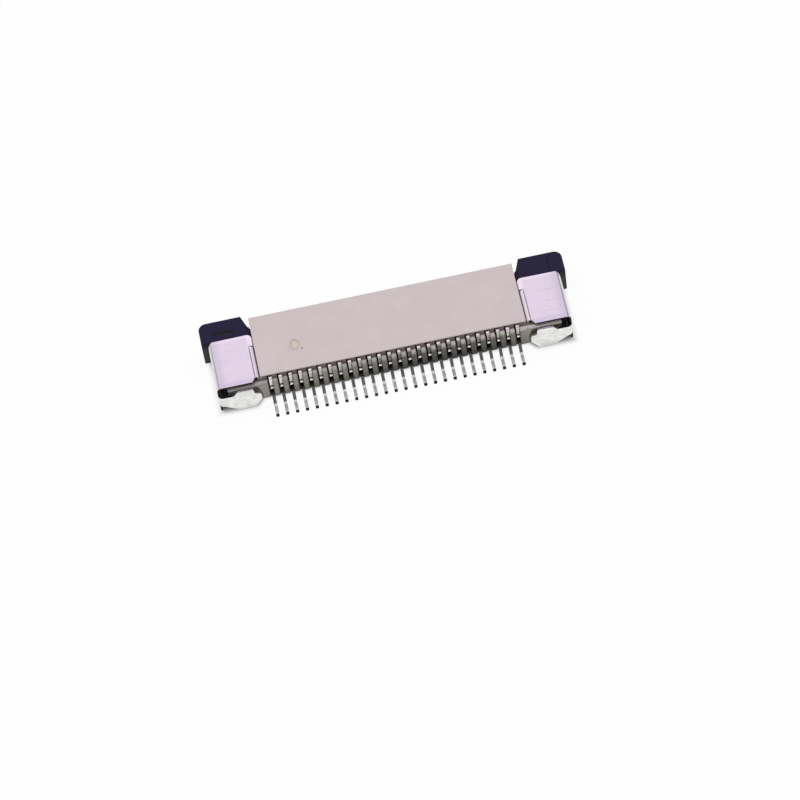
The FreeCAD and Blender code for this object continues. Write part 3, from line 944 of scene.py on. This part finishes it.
@dataclass
class HoldDown:
    """One folded hold-down: top sheet, end wall, front flange and inner lip.

    Its own sizes are read from its node. The other fields are places on it.
    """

    side: Side
    sheet_mm: float = 0.2
    lip_mm: float = 13.6
    lip_back_mm: float = 13.96
    lip_low_mm: float = 3.0
    lip_end_mm: float = 1.2
    inside_mm: float = 0.25
    flange_mm: float = -3.3
    front_edge_mm: float = -3.0
    sole_mm: float = 0.2
    corner_start_mm: float = 17.3
    corner_mm: float = 0.45
    corner_play_mm: float = 0.05
    top_play_mm: float = 0.02
    edge_share: float = 0.75
    level: float = 0.95
    turned: float = 1e-4
    rolled: EdgeBreak = field(default_factory=lambda: EdgeBreak(0.05, 2))
    crease_deg: float = 30.0

    def __post_init__(self) -> None:
        """Read the hold-down's own sizes from its node."""
        self.node = f"hold_down_{self.side.value}"
        low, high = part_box(self.node)
        self.top = high[2]
        self.front = low[1]
        self.back = high[1]
        self.wall = max(abs(low[0]), abs(high[0]))

    def skin(self) -> TinPlate:
        """Give the outer finish with this side's painted highlights and shade, and the scuffs.

        Returns:
            The finish.
        """
        turn = -1 if self.side is Side.LEFT else 1
        # Painted highlights and shade, mirrored to this side
        painted_light_marks = tuple(tone.at_side(turn) for tone in TOP_PAINTED_LIGHT)
        return replace(SKIN_TIN, marks_and_painted_light=painted_light_marks + SKIN_TIN.marks_and_painted_light)

    def trim_corner(self, place: Vector) -> None:
        """Draw a point of the wall's back edge forward, so that its top corner is round.

        Args:
            place: The point. It is moved.
        """
        over = abs(place.x) - self.corner_start_mm * MM
        if over > 0 and place.y > self.back - self.corner_play_mm * MM:
            share = over / (self.wall - self.corner_start_mm * MM)
            place.y -= self.corner_mm * MM * share ** 2

    def is_rolled(self, edge: bmesh.types.BMEdge) -> bool:
        """Tell whether an edge is on the top's outline, apart from its front.

        Args:
            edge: An edge of the merged mesh.

        Returns:
            Whether it is rounded.
        """
        middle = (edge.verts[0].co + edge.verts[1].co) / 2
        ups = [face.normal.z for face in edge.link_faces]
        outline = max(ups) > self.level and min(abs(up) for up in ups) < UPRIGHT
        return (outline and middle.z > self.top - self.top_play_mm * MM
                and middle.y > self.front_edge_mm * MM)

    def zone(self, middle: Vector, way: Vector) -> SheetZone:
        """Tell which part of the surface a face belongs to.

        Args:
            middle: The face's middle, in metres.
            way: The face's normal.

        Returns:
            The part.
        """
        edge_on = (abs(way.z) < UPRIGHT
                   and middle.z > self.top - self.sheet_mm * self.edge_share * MM)
        end_on = abs(way.y) > FACING and middle.y > self.flange_mm * MM
        sole = way.z < -FACING and middle.z < self.sole_mm * MM
        inward = way.x * middle.x < -self.turned * abs(middle.x) or way.y < -FACING
        if (inward and abs(middle.x) < self.lip_back_mm * MM
                and middle.z > self.lip_low_mm * MM and middle.y < self.lip_end_mm * MM):
            return SheetZone.LIP
        if edge_on or end_on or sole:
            return SheetZone.CUT
        probe = middle + way * self.inside_mm * MM
        if (self.lip_mm * MM < abs(probe.x) < self.wall - self.sheet_mm * MM
                and probe.y > self.front + self.sheet_mm * MM
                and probe.z < self.top - self.sheet_mm * MM):
            return SheetZone.INNER
        if middle.y < self.flange_mm * MM:
            return SheetZone.FLANGE
        return SheetZone.SKIN

    def build(self) -> bpy.types.Object:
        """Make the hold-down in place of its node.

        Returns:
            The finished piece.
        """
        shape = node_mesh(self.node, self.trim_corner)
        self.rolled.roll(shape, self.is_rolled)
        mesh = new_mesh(f"{self.node}_form", shape)
        # The inner tin is painted shade, the lip tin a painted highlight, and the cut edges
        # partly painted shade
        finishes = (self.skin(), FLANGE_TIN, INNER_PAINTED_SHADE_TIN, CUT_BRONZE_AND_PAINTED_SHADE, LIP_PAINTED_HIGHLIGHT_TIN)
        piece = new_object(f"{self.node}_piece", mesh, [finish.build() for finish in finishes])
        mesh.set_sharp_from_angle(angle=math.radians(self.crease_deg))
        self.rolled.flatten(piece)
        for face in piece.data.polygons:
            face.material_index = self.zone(face.center, face.normal).value
        keep_in_box(piece, self.node)
        finish_piece(piece, FIXED_BODY, [self.node])
        return piece


@dataclass
class ContactRow:
    """The row of stamped contacts, one blade repeated along X.

    The plating adds a little to the blade's width.
    """

    pitch_mm: float = 1.0
    width_share: float = 1.1
    bare_tip_mm: float = 0.22
    head_low_mm: float = 2.6
    notch_depth_mm: float = 0.17
    shoulder_mm: float = 1.4
    leg_low_mm: float = 0.94
    leg_back_mm: float = 0.09
    leg_play_mm: float = 0.02
    same_place_mm: float = 0.01
    under: float = 0.8
    slanted: float = 0.5
    edges: EdgeBreak = field(default_factory=lambda: EdgeBreak(0.02, 2))
    tip_round: EdgeBreak = field(default_factory=lambda: EdgeBreak(0.1, 3))

    def nodes(self) -> list[str]:
        """Give the names of the contact nodes, in order."""
        return sorted(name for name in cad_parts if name.startswith("contact_"))

    def is_bare_or_painted_shade(self, middle: Vector, way: Vector, tip: float, face: float) -> bool:
        """Tell whether a face gets the dark finish.

        The foot's tip was cut after plating. The notch, the underside of the nose, the
        leg's set-back face and the step get it as painted shade.

        Args:
            middle: The face's middle, in metres.
            way: The face's normal.
            tip: The foot's end along Y.
            face: The head's front along Y.

        Returns:
            Whether it is bare.
        """
        if middle.y < tip + self.bare_tip_mm * MM:
            return True
        behind = middle.y - face
        above_leg = middle.z > self.leg_low_mm * MM
        above_shoulder = middle.z > self.shoulder_mm * MM
        # Whether it gets the dark finish.
        in_notch = way.y < -FACING and behind > self.notch_depth_mm * MM
        under_nose = way.z < -self.under and above_shoulder
        on_leg = (way.y < -self.slanted and above_leg
                  and -self.leg_back_mm * MM < behind < -self.leg_play_mm * MM)
        on_step = way.z > self.slanted and above_leg and middle.z < self.shoulder_mm * MM
        return in_notch or under_nose or on_leg or on_step

    def blade(self, name: str) -> bpy.types.Object:
        """Make the first contact, with its edges broken and the faces for its dark finish marked,
        cut faces and painted shade alike.

        Args:
            name: The contact's node.

        Returns:
            The blade, with its plated finish and its dark finish for cut faces and painted shade.
        """
        shape = node_mesh(name)
        tip = min(point.co.y for point in shape.verts)
        face = min(point.co.y for point in shape.verts
                   if point.co.z > self.head_low_mm * MM)
        middle = sum(point.co.x for point in shape.verts) / len(shape.verts)
        for point in shape.verts:
            point.co.x = middle + (point.co.x - middle) * self.width_share
        same = self.same_place_mm * MM
        self.tip_round.roll(shape, lambda edge: all(
            point.co.y < tip + same for point in edge.verts)
            and abs(edge.verts[0].co.x - edge.verts[1].co.x) < same)
        bmesh.ops.bisect_plane(
            shape, geom=shape.verts[:] + shape.edges[:] + shape.faces[:],
            plane_co=(0, tip + self.bare_tip_mm * MM, 0), plane_no=(0, 1, 0))
        mesh = new_mesh("contact_form", shape)
        piece = new_object("contact_row_piece", mesh, [CONTACT_TIN.build(), CUT_BRONZE_AND_PAINTED_SHADE.build()])
        self.edges.apply(piece)
        # Mark the faces for the dark finish: cut faces and painted shade
        bare_and_painted_shade = piece.data.attributes.new("bare_and_painted_shade", "BOOLEAN", "FACE")
        for polygon, mark in zip(piece.data.polygons, bare_and_painted_shade.data):
            mark.value = self.is_bare_or_painted_shade(polygon.center, polygon.normal, tip, face)
        return piece

    def row_tree(self) -> bpy.types.GeometryNodeTree:
        """Make the tree that repeats a blade along X and dresses its two finishes.

        Returns:
            The tree.
        """
        tree = bpy.data.node_groups.new("contact_row", "GeometryNodeTree")
        face = tree.interface
        face.new_socket("Geometry", in_out="INPUT", socket_type="NodeSocketGeometry")
        face.new_socket("Count", in_out="INPUT", socket_type="NodeSocketInt")
        face.new_socket("Pitch", in_out="INPUT", socket_type="NodeSocketFloat")
        face.new_socket("Plated", in_out="INPUT", socket_type="NodeSocketMaterial")
        face.new_socket("BareAndPaintedShade", in_out="INPUT", socket_type="NodeSocketMaterial")
        face.new_socket("Geometry", in_out="OUTPUT", socket_type="NodeSocketGeometry")
        start = add_node(tree, "NodeGroupInput")
        step = add_node(tree, "ShaderNodeCombineXYZ", inputs={"X": start.outputs["Pitch"]})
        line = add_node(tree, "GeometryNodeMeshLine", inputs={
            "Count": start.outputs["Count"], "Offset": step.outputs["Vector"]})
        copies = add_node(tree, "GeometryNodeInstanceOnPoints", inputs={
            "Points": line.outputs["Mesh"], "Instance": start.outputs["Geometry"]})
        real = add_node(tree, "GeometryNodeRealizeInstances", inputs={
            "Geometry": copies.outputs["Instances"]})
        plated = add_node(tree, "GeometryNodeSetMaterial", inputs={
            "Geometry": real.outputs["Geometry"], "Material": start.outputs["Plated"]})
        marked = add_node(tree, "GeometryNodeInputNamedAttribute", {"data_type": "BOOLEAN"}, {
            "Name": "bare_and_painted_shade"})
        dressed = add_node(tree, "GeometryNodeSetMaterial", inputs={
            "Geometry": plated.outputs["Geometry"], "Material": start.outputs["BareAndPaintedShade"],
            "Selection": marked.outputs["Attribute"]})
        add_node(tree, "NodeGroupOutput", inputs={"Geometry": dressed.outputs["Geometry"]})
        return tree

    def build(self) -> bpy.types.Object:
        """Make the whole row in place of its nodes.

        Returns:
            The finished piece.
        """
        names = self.nodes()
        piece = self.blade(names[0])
        plated, bare_and_painted_shade = piece.data.materials
        repeat = piece.modifiers.new("row", "NODES")
        repeat.node_group = self.row_tree()
        sockets = {item.name: item.identifier for item in repeat.node_group.interface.items_tree
                   if item.in_out == "INPUT"}
        repeat[sockets["Count"]] = len(names)
        repeat[sockets["Pitch"]] = self.pitch_mm * MM
        repeat[sockets["Plated"]] = plated
        repeat[sockets["BareAndPaintedShade"]] = bare_and_painted_shade
        bake_modifiers(piece)
        finish_piece(piece, FIXED_BODY, names)
        return piece


@dataclass
class Studio:
    """The pale table, the light tent, the lamp and the camera.

    The tent has a white strip overhead, a grey gap and a white wing at each side, and a
    darker front. Edges are directions: shares of X, Y or Z in a ray of length one. What
    metal mirrors is spread out, so that its bends take a soft gradient.
    """

    lens_mm: float = 198.8
    sensor_mm: float = 36.0
    nearest_mm: float = 10.0
    camera_mm: tuple[float, float, float] = (-13.58, -253.17, 361.91)
    camera_deg: tuple[float, float, float] = (33.990, 5.215, -10.746)
    paper: str = "#F4F4F2"
    paper_underside: str = "#A6A69F"
    floor_mm: float = 900.0
    floor_glow: float = 0.94
    footprint_mm: tuple[float, float] = (17.9, 2.4)
    end_depth_mm: float = 0.95
    end_edge_mm: tuple[float, float] = (13.2, 14.4)
    under_mm: float = -0.3
    shadow_reach_mm: float = 0.7
    mirror_reach_mm: float = 0.8
    strip: str = "#F8E9FE"
    wings: str = WHITE
    left_gap: str = "#C3BFC6"
    right_gap: str = "#B3AFB6"
    gap_blend: tuple[float, float] = (-0.1, 0.1)
    mirror_spread: tuple[float, float] = (0.214, 0.147)
    front: str = "#8C8A8E"
    strip_edge: tuple[float, float] = (0.28, 0.19)
    wing_edge: tuple[float, float] = (0.42, 0.54)
    front_edge: tuple[float, float] = (-0.40, -0.62)
    horizon_edge: tuple[float, float] = (0.30, 0.18)
    tent_strength: float = 1.0
    lamp_mm: tuple[float, float, float] = (-90.0, 70.0, 410.0)
    lamp_size_mm: float = 180.0
    lamp_power: float = 0.5

    def glow_share(self, tree: Tree, seen: bpy.types.Node) -> Socket:
        """Give how far the table glows: not under the connector, and fully away from it.

        The dark patch under the connector is narrower between the end blocks, and it
        is laid once for what the camera sees and once for what the metal mirrors.

        Args:
            tree: The table's node tree.
            seen: Its light path node.

        Returns:
            The share of the glow.
        """
        place = add_node(tree, "ShaderNodeTexCoord").outputs["Object"]
        aside, ahead, _ = add_split(tree, add_vector_math(tree, "ABSOLUTE", place))
        beside = add_math(tree, "SUBTRACT", aside, self.footprint_mm[0] * MM)
        before = add_math(tree, "SUBTRACT", ahead, self.footprint_mm[1] * MM)
        ends = add_fade(tree, aside, *self.end_edge_mm, MM)
        before_end = add_math(tree, "MULTIPLY_ADD", ends, -self.end_depth_mm * MM, before)
        away = add_math(tree, "MAXIMUM", beside, before_end)
        shares = []
        for ray, reach_mm in (("Is Camera Ray", self.shadow_reach_mm),
                              ("Is Glossy Ray", self.mirror_reach_mm)):
            open_floor = add_fade(tree, away, self.under_mm, reach_mm, MM)
            shares.append(add_math(tree, "MULTIPLY", seen.outputs[ray], open_floor))
        return add_math(tree, "MULTIPLY", add_math(tree, "ADD", *shares), self.floor_glow)

    def floor(self) -> bpy.types.Object:
        """Lay the white table, which throws less light upwards than it shows.

        Returns:
            The table.
        """
        half = self.floor_mm * MM / 2
        mesh = bpy.data.meshes.new("table")
        mesh.from_pydata([(-half, -half, 0), (half, -half, 0), (half, half, 0), (-half, half, 0)],
                         [], [(0, 1, 2, 3)])
        material, tree = new_material("white_paper")
        seen = add_node(tree, "ShaderNodeLightPath")
        clear = add_math(tree, "MAXIMUM", seen.outputs["Is Camera Ray"],
                         seen.outputs["Is Glossy Ray"])
        tone = add_mix(tree, clear, linear(self.paper_underside), linear(self.paper))
        paper = add_node(tree, "ShaderNodeBsdfDiffuse", inputs={"Color": tone})
        glow = add_node(tree, "ShaderNodeEmission", inputs={
            "Color": linear(WHITE), "Strength": 1.0})
        mixed = add_node(tree, "ShaderNodeMixShader", inputs={
            0: self.glow_share(tree, seen), 1: paper.outputs["BSDF"],
            2: glow.outputs["Emission"]})
        add_node(tree, "ShaderNodeOutputMaterial", inputs={"Surface": mixed.outputs["Shader"]})
        table = new_object("table", mesh, [material])
        return table

    def world(self) -> None:
        """Make the light tent: a bright strip overhead, white wings and narrow gaps between."""
        world = bpy.data.worlds.new("light_tent")
        world.use_nodes = True
        tree = world.node_tree
        tree.nodes.clear()
        way = add_node(tree, "ShaderNodeTexCoord").outputs["Generated"]
        across, ahead, up = add_split(tree, way)
        aside = add_math(tree, "ABSOLUTE", across)
        path = add_node(tree, "ShaderNodeLightPath")
        glossy = path.outputs["Is Glossy Ray"]
        spread = add_math(tree, "MULTIPLY_ADD", aside, *self.mirror_spread)
        reach = add_node(tree, "ShaderNodeMix", {"data_type": "FLOAT"}, {
            "Factor": glossy, "A": aside, "B": spread}).outputs["Result"]
        horizon = add_math(tree, "MULTIPLY", add_fade(tree, up, *self.horizon_edge), glossy)
        masks = (
            (self.strip, add_fade(tree, reach, *self.strip_edge)),
            (self.wings, add_fade(tree, reach, *self.wing_edge)),
            (self.front, add_fade(tree, ahead, *self.front_edge)),
            (self.wings, horizon))
        tent = add_mix(tree, add_fade(tree, across, *self.gap_blend),
                       linear(self.left_gap), linear(self.right_gap))
        for colour, mask in masks:
            tent = add_mix(tree, mask, tent, linear(colour))
        lit = add_node(tree, "ShaderNodeBackground", inputs={
            "Color": tent, "Strength": self.tent_strength})
        white = add_node(tree, "ShaderNodeBackground", inputs={
            "Color": linear(WHITE), "Strength": 1.0})
        mixed = add_node(tree, "ShaderNodeMixShader", inputs={
            0: path.outputs["Is Camera Ray"], 1: lit.outputs["Background"],
            2: white.outputs["Background"]})
        add_node(tree, "ShaderNodeOutputWorld", inputs={"Surface": mixed.outputs["Shader"]})
        bpy.context.scene.world = world

    def lamp(self) -> None:
        """Hang the square soft lamp that faces the connector."""
        data = bpy.data.lights.new("overhead", "AREA")
        data.size = self.lamp_size_mm * MM
        data.energy = self.lamp_power
        lamp = bpy.data.objects.new("overhead", data)
        lamp.location = Vector(self.lamp_mm) * MM
        lamp.rotation_euler = (-lamp.location).to_track_quat("-Z", "Y").to_euler()
        lamp.visible_glossy = False
        bpy.context.scene.collection.objects.link(lamp)

    def camera(self) -> None:
        """Set the camera at the photograph's place."""
        data = bpy.data.cameras.new("camera")
        data.sensor_width = self.sensor_mm
        data.lens = self.lens_mm
        data.clip_start = self.nearest_mm * MM
        camera = bpy.data.objects.new("camera", data)
        camera.location = Vector(self.camera_mm) * MM
        camera.rotation_euler = Euler([math.radians(turn) for turn in self.camera_deg], "XYZ")
        bpy.context.scene.collection.objects.link(camera)
        bpy.context.scene.camera = camera

    def build(self) -> None:
        """Set up the table, the lights and the camera."""
        bpy.context.scene.view_settings.view_transform = "Standard"
        self.floor()
        self.world()
        self.lamp()
        self.camera()


def main() -> None:
    """Build every piece in order and say what was made."""
    Studio().build()
    Moulding("housing", FIXED_BODY, Slot.HOUSING, HOUSING_RESIN, EdgeBreak(0.03)).build()
    Moulding("slider", LOCK_BODY, Slot.SLIDER, SLIDER_RESIN, EdgeBreak(0.06)).build()
    for side in Side:
        HoldDown(side).build()
    ContactRow().build()


if __name__ == "__main__":
    main()
